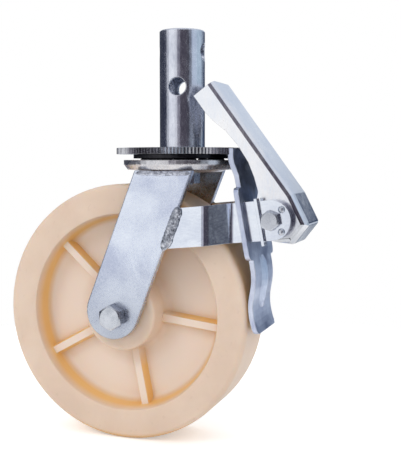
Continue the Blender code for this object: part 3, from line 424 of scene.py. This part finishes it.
# Materials
def plated_metal(
        name, light, dark, roughness, streak=(1, 1, 1), grain=0.5, dents=0.3, edge=0.0004,
        blotch=38.0, speckle=0.35, worn=0.5, rim=1.12, fade=None, sides_free_of_painted_dark=False, shaded=0.0):
    """Zinc-plated steel: cloudy tone, drawn streaks, fine pits, worn edges, painted shade.

    A streak below 1 draws the streaks out along that axis. grain and dents are the heights
    of the fine and the wide bumps, edge is the radius that sharp edges are shaded with, and
    blotch is the scale of the clouds. speckle is how dark the pits are and worn how much the
    edges are worn to rim, their tone against the faces; a rim below 1 paints the edges dark
    as shade instead. fade is (full, none, share): a painted dark reflection that darkens the
    plating from the height none to the height full. With sides_free_of_painted_dark the faces
    that stand square to the axle are kept out of it. shaded is how much painted brown shade
    shut-in places get.
    """
    made, tree, shader = new_material(name)
    coords_node = tree.nodes.new("ShaderNodeTexCoord")
    coords = coords_node.outputs["Object"]
    cloud = noise_node(tree, coords, blotch, detail=4.0, roughness=0.6, distortion=0.4)
    streaks = noise_node(
        tree, stretched(tree, coords, streak), scale=620.0, detail=4.0, roughness=0.65)
    pits = noise_node(tree, coords, scale=1500.0, detail=2.0, roughness=0.5)
    wave = noise_node(tree, coords, scale=95.0, detail=2.0, roughness=0.5, distortion=0.2)
    edge_normal, edges = edge_mask(tree, edge)
    tone = plus(tree, times(tree, cloud, 0.7), times(tree, streaks, 0.3))
    colour = ramp(tree, tone, ((0.36, dark), (0.62, light)))
    pit_mask = remap(tree, pits, 0.66, 0.78, to_high=speckle)
    colour = mix_colour(tree, pit_mask, colour, scaled(dark, PIT_TONE))
    # Painted dark reflection: the plating darkens from one height on, in place of dark
    # surroundings seen in the metal
    if fade is not None:
        full, none, share = fade
        height = vector_node(tree, "ShaderNodeSeparateXYZ", coords).outputs["Z"]
        height = plus(tree, height, spread(tree, cloud, -FADE_WANDER, FADE_WANDER))
        painted_dark_mask = remap(tree, height, full, none, share, 0.0)
        if sides_free_of_painted_dark:
            slanted = remap(tree, facing_out(tree, coords_node), 0.55, 0.85, 1.0, 0.0)
            painted_dark_mask = times(tree, painted_dark_mask, slanted)
        colour = mix_colour(tree, painted_dark_mask, colour, scaled(dark, PAINTED_DARK_TONE))
    # Painted shade: brown where ambient occlusion finds the place shut in
    if shaded > 0:
        shut_in = enclosed_mask(tree, distance=0.06, start=0.50, full=0.15, only_local=False)
        colour = mix_colour(tree, times(tree, shut_in, shaded), colour, PAINTED_SHADE_STEEL)
    # Worn edges, lighter by rim; a rim below 1 paints dark edges as shade instead of wear
    edge_wear_and_shade = times(tree, edges, remap(tree, wave, 0.35, 0.6, 0.3 * worn, worn))
    edge_colour = tuple(min(1.0, part) for part in scaled(light, rim))
    colour = mix_colour(tree, edge_wear_and_shade, colour, edge_colour)
    tree.links.new(colour, shader.inputs["Base Color"])
    rough = spread(tree, cloud, roughness * 0.75, roughness * 1.3)
    rough = plus(tree, rough, spread(tree, streaks, -0.05, 0.07))
    rough = math_node(tree, "SUBTRACT", rough, times(tree, edges, 0.06), clamp=True)
    tree.links.new(rough, shader.inputs["Roughness"])
    shader.inputs["Metallic"].default_value = 1.0
    height = plus(tree, times(tree, streaks, grain * 0.12), times(tree, pits, grain * 0.08))
    height = plus(tree, height, times(tree, wave, dents))
    add_bump(tree, shader, height, distance=0.0006, strength=0.5, normal=edge_normal)
    return made


def weld_metal(name, dark, middle, light):
    """Plated weld bead: pitted, blotched dark and bright."""
    made, tree, shader = new_material(name)
    coords = tree.nodes.new("ShaderNodeTexCoord").outputs["Object"]
    blotches = noise_node(tree, coords, scale=420.0, detail=4.0, roughness=0.6, distortion=0.6)
    fine = noise_node(tree, coords, scale=1600.0, detail=3.0, roughness=0.6)
    colour = ramp(tree, blotches, ((0.38, dark), (0.5, middle), (0.64, light)))
    tree.links.new(colour, shader.inputs["Base Color"])
    tree.links.new(spread(tree, fine, 0.30, 0.55), shader.inputs["Roughness"])
    shader.inputs["Metallic"].default_value = 1.0
    add_bump(tree, shader, fine, distance=0.0005, strength=0.6)
    return made


def nylon(name):
    """Cast ivory nylon, a little translucent: clouding, pores, painted amber shade, painted
    glow.
    """
    made, tree, shader = new_material(name)
    coords_node = tree.nodes.new("ShaderNodeTexCoord")
    coords = coords_node.outputs["Object"]
    cloud = noise_node(tree, coords, scale=24.0, detail=4.0, roughness=0.55, distortion=0.5)
    pores = noise_node(tree, coords, scale=900.0, detail=3.0, roughness=0.6)
    specks = noise_node(tree, coords, scale=260.0, detail=1.0, roughness=0.4)
    colour = ramp(tree, cloud, ((0.32, NYLON_DARK), (0.66, NYLON_LIGHT)))
    colour = mix_colour(tree, remap(tree, specks, 0.70, 0.76, to_high=0.12), colour, NYLON_SPECK)
    edge_normal, edges = edge_mask(tree, 0.0005)
    shut_in = enclosed_mask(tree, distance=0.030, start=0.58, full=0.18, only_local=False)
    painted_corner_shade = enclosed_mask(tree, distance=0.006, start=0.80, full=0.42, only_local=True)
    # Painted glow on the recess's faces, painted amber shade in shut-in places, corners and
    # steep flanks, and real wear on the edges
    for mask, share, tint in (
            (recess_faces(tree, coords_node), 0.85, NYLON_PAINTED_GLOW),
            (shut_in, 0.80, NYLON_PAINTED_SHADE),
            (painted_corner_shade, 0.60, NYLON_PAINTED_CORNER_SHADE),
            (recess_flanks(tree, coords_node), 0.85, NYLON_PAINTED_FLANK_SHADE),
            (edges, 0.3, NYLON_WORN)):
        colour = mix_colour(tree, times(tree, mask, share), colour, tint)
    tree.links.new(colour, shader.inputs["Base Color"])
    tree.links.new(spread(tree, cloud, 0.38, 0.50), shader.inputs["Roughness"])
    shader.inputs["Subsurface Weight"].default_value = 0.25
    shader.inputs["Subsurface Radius"].default_value = (1.0, 0.55, 0.25)
    shader.inputs["Subsurface Scale"].default_value = 0.006
    shader.inputs["Specular IOR Level"].default_value = 0.4
    height = plus(tree, times(tree, pores, 0.12), times(tree, cloud, 0.6))
    add_bump(tree, shader, height, distance=0.0006, strength=0.30, normal=edge_normal)
    return made


def make_finishes():
    """All finishes of the part, by name."""
    made = {name: plated_metal(name, **look) for name, look in METALS.items()}
    for name, tones in WELD_METALS.items():
        made[name] = weld_metal(name, *tones)
    made["ivory_nylon"] = nylon("ivory_nylon")
    return made


def node_finish(node):
    for word, finish in NODE_FINISHES:
        if word in node:
            return finish
    return OTHER_FINISH


def dress_nodes():
    for node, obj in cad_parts.items():
        obj.data.materials.clear()
        obj.data.materials.append(finishes[node_finish(node)])


# Mesh helpers
def new_object(name, verts, faces, finish, smooth_angle=38):
    mesh = bpy.data.meshes.new(name)
    mesh.from_pydata(verts, [], faces)
    mesh.validate()
    mesh.materials.append(finish)
    mesh.shade_smooth()
    mesh.set_sharp_from_angle(angle=math.radians(smooth_angle))
    obj = bpy.data.objects.new(name, mesh)
    bpy.context.scene.collection.objects.link(obj)
    return obj


def arc_points(centre, radius, start, end, steps):
    points = []
    for i in range(steps + 1):
        angle = start + (end - start) * i / steps
        points.append((
            centre[0] + radius * math.cos(angle), centre[1] + radius * math.sin(angle)))
    return points


def straight(first, last, steps):
    """Points between two profile points, without the two themselves."""
    return [
        tuple(a + (b - a) * i / steps for a, b in zip(first, last)) for i in range(1, steps)]


def smooth_step(value):
    value = min(max(value, 0.0), 1.0)
    return value * value * (3 - 2 * value)


def smooth_max(first, second, blend):
    near = max(blend - abs(first - second), 0) / blend
    return max(first, second) + near * near * blend / 4


# Wheel
def wheel_profile():
    """(radius, height) half section of the wheel, from the bore's end to mid tread."""
    wall = RIM_LIP_RADIUS - RIM_DRAFT
    hub_foot = HUB_RADIUS + HUB_DRAFT
    half = math.pi / 2
    hub_fillet = arc_points(
        (hub_foot + HUB_FILLET, WEB_HALF + HUB_FILLET), HUB_FILLET, math.pi, 3 * half,
        FILLET_STEPS)
    rim_fillet = arc_points(
        (wall - RIM_FILLET, WEB_HALF + RIM_FILLET), RIM_FILLET, -half, 0, FILLET_STEPS)
    lip = arc_points(
        (RIM_LIP_RADIUS + RIM_LIP_ROUND, WHEEL_HALF_WIDTH - RIM_LIP_ROUND), RIM_LIP_ROUND,
        math.pi, half, LIP_STEPS)
    corner = arc_points(
        (WHEEL_RADIUS - TREAD_CORNER, WHEEL_HALF_WIDTH - TREAD_CORNER), TREAD_CORNER, half, 0,
        FILLET_STEPS)
    hub_corner = (HUB_RADIUS, HUB_HALF_WIDTH - HUB_CHAMFER)
    return [
        (HUB_BORE_RADIUS, HUB_HALF_WIDTH - HUB_BORE_CHAMFER),
        (HUB_BORE_RADIUS + HUB_BORE_CHAMFER, HUB_HALF_WIDTH),
        *straight((HUB_BORE_RADIUS, HUB_HALF_WIDTH), (HUB_RADIUS, HUB_HALF_WIDTH), 4),
        (HUB_RADIUS - HUB_CHAMFER, HUB_HALF_WIDTH),
        (HUB_RADIUS - HUB_CHAMFER * 0.35, HUB_HALF_WIDTH - HUB_CHAMFER * 0.3),
        hub_corner,
        *straight(hub_corner, hub_fillet[0], 6),
        *hub_fillet,
        *straight(hub_fillet[-1], rim_fillet[0], 9),
        *rim_fillet,
        *straight(rim_fillet[-1], lip[0], 5),
        *lip,
        *straight(lip[-1], corner[0], 4),
        *corner,
        *straight(corner[-1], (WHEEL_RADIUS, 0), 4),
        (WHEEL_RADIUS, 0),
    ]


def wheel_columns():
    """(rib angle, offset from the rib, share of the way to the next rib) of each column."""
    offsets = [-value for value in reversed(RIB_OFFSETS[1:])] + list(RIB_OFFSETS)
    columns = []
    for rib in range(RIB_COUNT):
        angle = RIB_TURN + rib * RIB_PITCH
        columns += [(angle, offset, 0.0) for offset in offsets]
        columns += [
            (angle, RIB_OFFSETS[-1], i / PLAIN_COLUMNS) for i in range(1, PLAIN_COLUMNS)]
    return columns


def rib_lift(radius, angle):
    """Height of the nearest rib's top above the web's middle plane at a point."""
    away = (angle - RIB_TURN + RIB_PITCH / 2) % RIB_PITCH - RIB_PITCH / 2
    distance = abs(radius * math.sin(away))
    share = 1 - smooth_step((distance - RIB_HALF + RIB_EDGE) / (2 * RIB_EDGE))
    return WEB_HALF + RIB_HEIGHT * share - RIB_BLEND * 2 * (1 - share)


def wheel_point(radius, height, column):
    rib_angle, offset, share = column
    steady = max(radius, COLUMN_RADIUS)
    start = rib_angle + math.asin(offset / steady)
    end = rib_angle + RIB_PITCH - math.asin(RIB_OFFSETS[-1] / steady)
    angle = start if share == 0 else start + (end - start) * share
    side = 1 if height >= 0 else -1
    level = abs(height)
    if RIB_FREE_RADIUS < radius < RIM_LIP_RADIUS and level > 0:
        level = smooth_max(level, rib_lift(radius, angle), RIB_BLEND)
        level = min(level, max(abs(height), WEB_HALF + RIB_HEIGHT + RIB_BLEND / 4))
    return (radius * math.cos(angle), side * level, radius * math.sin(angle))


def fine_wheel(finish):
    """The wheel with rounded edges and rib roots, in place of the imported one."""
    half = wheel_profile()
    profile = half + [(radius, -height) for radius, height in reversed(half[:-1])]
    columns = wheel_columns()
    verts = [wheel_point(*point, column) for point in profile for column in columns]
    count = len(columns)
    faces = []
    for row in range(len(profile)):
        nxt = (row + 1) % len(profile)
        for i in range(count):
            j = (i + 1) % count
            faces.append((row * count + i, row * count + j, nxt * count + j, nxt * count + i))
    obj = new_object("wheel_fine", verts, faces, finish, smooth_angle=50)
    obj.location = WHEEL_CENTRE
    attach(obj, "wheel")
    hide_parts("wheel")


# Weld beads
def weld_bead(name, node, along, length, width, side, seed, pitch, finish):
    """Rippled bead in place of a plain weld bar, bulging to one side along Y."""
    low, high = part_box(node)
    middle = (Vector(low) + Vector(high)) / 2
    base_y = low[1] if side > 0 else high[1]
    across = Vector((along.z, 0, -along.x))
    verts = []
    for i in range(WELD_STEPS_LONG + 1):
        share = i / WELD_STEPS_LONG
        reach = (share - 0.5) * length
        taper = max(1 - abs(2 * share - 1) ** WELD_END_POWER, 0.0) ** 0.5
        phase = reach / pitch
        lean = (phase - math.floor(phase)) ** WELD_RIPPLE_LEAN
        ripple = 0.5 + 0.5 * math.cos(2 * math.pi * lean)
        wander = noise.noise(Vector((reach * WELD_WANDER_SCALE, seed, 0)))
        for j in range(WELD_STEPS_ROUND + 1):
            turn = math.pi * j / WELD_STEPS_ROUND
            rough = noise.noise(Vector((
                reach * WELD_ROUGH_SCALE, math.cos(turn) * WELD_ROUGH_ROUND, seed + 7)))
            swell = 0.80 + 0.14 * ripple + 0.16 * rough
            out = WELD_PROUD * taper * min(swell, 1.0) * math.sin(turn) ** WELD_ROUND_POWER
            wide = width / 2 * taper * (0.88 + 0.10 * wander + 0.05 * ripple) * math.cos(turn)
            lag = WELD_LAG * pitch * math.sin(turn)
            point = middle + along * (reach - lag * 0.5) + across * (wide + WELD_WANDER * wander)
            verts.append((point.x, base_y + side * (out - WELD_SINK), point.z))
    row = WELD_STEPS_ROUND + 1
    faces = []
    for i in range(WELD_STEPS_LONG):
        for j in range(WELD_STEPS_ROUND):
            a = i * row + j
            quad = (a, a + 1, a + row + 1, a + row)
            faces.append(quad if side > 0 else quad[::-1])
        a = i * row
        back = (a + row - 1, a, a + row, a + 2 * row - 1)
        faces.append(back if side > 0 else back[::-1])
    obj = new_object(name, verts, faces, finish, smooth_angle=60)
    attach(obj, "fork")
    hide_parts(node)


def weld_beads(arm_finish, crown_finish):
    up_leg = Vector((math.sin(LEG_TILT), 0, math.cos(LEG_TILT)))
    level = Vector((1, 0, 0))
    for name, side, seed in (("near", -1, 3.0), ("far", 1, 11.0)):
        weld_bead(
            name + "_arm_bead", name + "_arm_weld", up_leg, ARM_WELD_LENGTH, ARM_WELD_WIDTH,
            side, seed, ARM_WELD_PITCH, arm_finish)
        weld_bead(
            name + "_crown_bead", name + "_crown_weld", level, CROWN_WELD_LENGTH,
            CROWN_WELD_WIDTH, side, seed + 20, CROWN_WELD_PITCH, crown_finish)


# Threads on the bolt ends
def thread(name, centre, radius, start_y, end_y, pitch, finish):
    """Thread crests on the end of a plain shank that points along +Y."""
    around = THREAD_STEPS_ROUND
    rows = max(int((end_y - start_y) / pitch * THREAD_ROWS_A_TURN), THREAD_FEWEST_ROWS)
    verts = []
    for i in range(rows + 1):
        y = start_y + (end_y - start_y) * i / rows
        fade = min(1, (end_y - y) / pitch * 1.5 + 0.1)
        for j in range(around):
            angle = 2 * math.pi * j / around
            phase = (y / pitch - j / around) % 1
            crest = 1 - abs(2 * phase - 1)
            r = radius + THREAD_GAP + THREAD_CREST * crest * fade
            verts.append((centre.x + r * math.cos(angle), y, centre.z + r * math.sin(angle)))
    faces = []
    for i in range(rows):
        for j in range(around):
            k = (j + 1) % around
            first, second = i * around, (i + 1) * around
            faces.append((first + j, second + j, second + k, first + k))
    faces.append(tuple(range(around)))
    faces.append(tuple(rows * around + j for j in reversed(range(around))))
    obj = new_object(name, verts, faces, finish, smooth_angle=25)
    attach(obj, "fork")


def bolt_threads(finish):
    for name, node, nut, radius, pitch in (
            ("axle_thread", "axle_bolt", "axle_nut", AXLE_SHANK_RADIUS, AXLE_THREAD_PITCH),
            ("pivot_thread", "pivot_bolt", "pivot_nut", PIVOT_SHANK_RADIUS, PIVOT_THREAD_PITCH)):
        low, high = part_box(node)
        centre = (Vector(low) + Vector(high)) / 2
        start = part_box(nut)[1][1] - THREAD_START_OVERLAP
        thread(name, centre, radius, start, high[1] + THREAD_END_PROUD, pitch, finish)


# Studio
def in_gloss(tree, path):
    """1 for rays that a glossy or clear surface sends on, else 0."""
    return math_node(
        tree, "MAXIMUM", path.outputs["Is Glossy Ray"], path.outputs["Is Transmission Ray"])


def floor_glow(tree):
    """What lifts the floor to white for the camera and in reflections, but lights nothing."""
    path = tree.nodes.new("ShaderNodeLightPath")
    direct = times(tree, path.outputs["Is Camera Ray"], FLOOR_LIFT)
    return plus(tree, direct, times(tree, in_gloss(tree, path), MIRRORED_LIFT))


def floor():
    """Round pale table top under the castor."""
    verts = []
    for i in range(FLOOR_STEPS):
        angle = 2 * math.pi * i / FLOOR_STEPS
        verts.append((
            FLOOR_RADIUS * math.cos(angle), FLOOR_RADIUS * math.sin(angle), FLOOR_Z))
    made, tree, shader = new_material("pale_floor")
    coords = tree.nodes.new("ShaderNodeTexCoord").outputs["Object"]
    cloud = noise_node(tree, coords, scale=3.0, detail=2.0)
    tree.links.new(ramp(tree, cloud, ((0.3, 0.93), (0.7, 0.96))), shader.inputs["Base Color"])
    shader.inputs["Roughness"].default_value = 0.9
    shader.inputs["Specular IOR Level"].default_value = 0.1
    shader.inputs["Emission Color"].default_value = (1.0, 1.0, 1.0, 1.0)
    tree.links.new(floor_glow(tree), shader.inputs["Emission Strength"])
    obj = new_object("floor", verts, [tuple(range(FLOOR_STEPS))], made)


def studio_world():
    """White to the camera, even light on matt surfaces, and a banded studio in gloss."""
    world = bpy.data.worlds.new("studio")
    bpy.context.scene.world = world
    world.use_nodes = True
    tree = world.node_tree
    coords = tree.nodes.new("ShaderNodeTexCoord").outputs["Generated"]
    split = vector_node(tree, "ShaderNodeSeparateXYZ", coords)
    level = split.outputs["Z"]
    ahead = times(tree, split.outputs["Y"], -1.0)
    bearing = math_node(tree, "ARCTAN2", split.outputs["X"], ahead)
    bands = ramp(
        tree, remap(tree, bearing, -math.pi, math.pi),
        [((degrees + 180) / 360, colour) for degrees, colour in STUDIO_BANDS])
    panels = ramp(
        tree, remap(tree, level, -PANEL_LEVEL_LIMIT, PANEL_LEVEL_LIMIT),
        [(0.5 + place / (2 * PANEL_LEVEL_LIMIT), share) for place, share in PANEL_LEVELS])
    behind = remap(tree, math_node(tree, "ABSOLUTE", bearing), *PANEL_BEARINGS)
    gloss = mix_colour(tree, times(tree, panels, behind), bands, PANEL_COLOUR)
    gloss = mix_colour(tree, remap(tree, level, *OVERHEAD_LEVELS), gloss, OVERHEAD_COLOUR)
    path = tree.nodes.new("ShaderNodeLightPath")
    even = remap(tree, level, -1.0, 1.0, *EVEN_LIGHT)
    lit = mix_colour(tree, in_gloss(tree, path), even, gloss)
    seen = mix_colour(tree, path.outputs["Is Camera Ray"], lit, (1.0, 1.0, 1.0))
    background = tree.nodes["Background"]
    tree.links.new(seen, background.inputs["Color"])
    background.inputs["Strength"].default_value = 1.0


def lamp(name, place, size, energy):
    data = bpy.data.lights.new(name, "AREA")
    data.shape = "SQUARE"
    data.size = size
    data.energy = energy
    obj = bpy.data.objects.new(name, data)
    obj.location = place
    obj.rotation_euler = (LAMP_TARGET - place).to_track_quat("-Z", "Y").to_euler()
    obj.visible_glossy = False
    bpy.context.scene.collection.objects.link(obj)


def camera():
    data = bpy.data.cameras.new("photo_camera")
    data.lens = CAMERA_LENS
    data.sensor_width = CAMERA_SENSOR
    data.clip_end = CAMERA_REACH
    obj = bpy.data.objects.new("photo_camera", data)
    obj.location = CAMERA_PLACE
    ahead = Vector((
        -math.sin(CAMERA_TURN) * math.cos(CAMERA_DIP),
        math.cos(CAMERA_TURN) * math.cos(CAMERA_DIP),
        -math.sin(CAMERA_DIP)))
    obj.rotation_euler = ahead.to_track_quat("-Z", "Y").to_euler()
    bpy.context.scene.collection.objects.link(obj)
    bpy.context.scene.camera = obj


camera()
finishes = make_finishes()
dress_nodes()
fine_wheel(finishes["ivory_nylon"])
weld_beads(finishes["plated_weld_bead"], finishes["smooth_weld_bead"])
bolt_threads(finishes["zinc_fastener"])
floor()
studio_world()
for row in LAMPS:
    lamp(*row)
bpy.context.scene.view_settings.view_transform = "Standard"
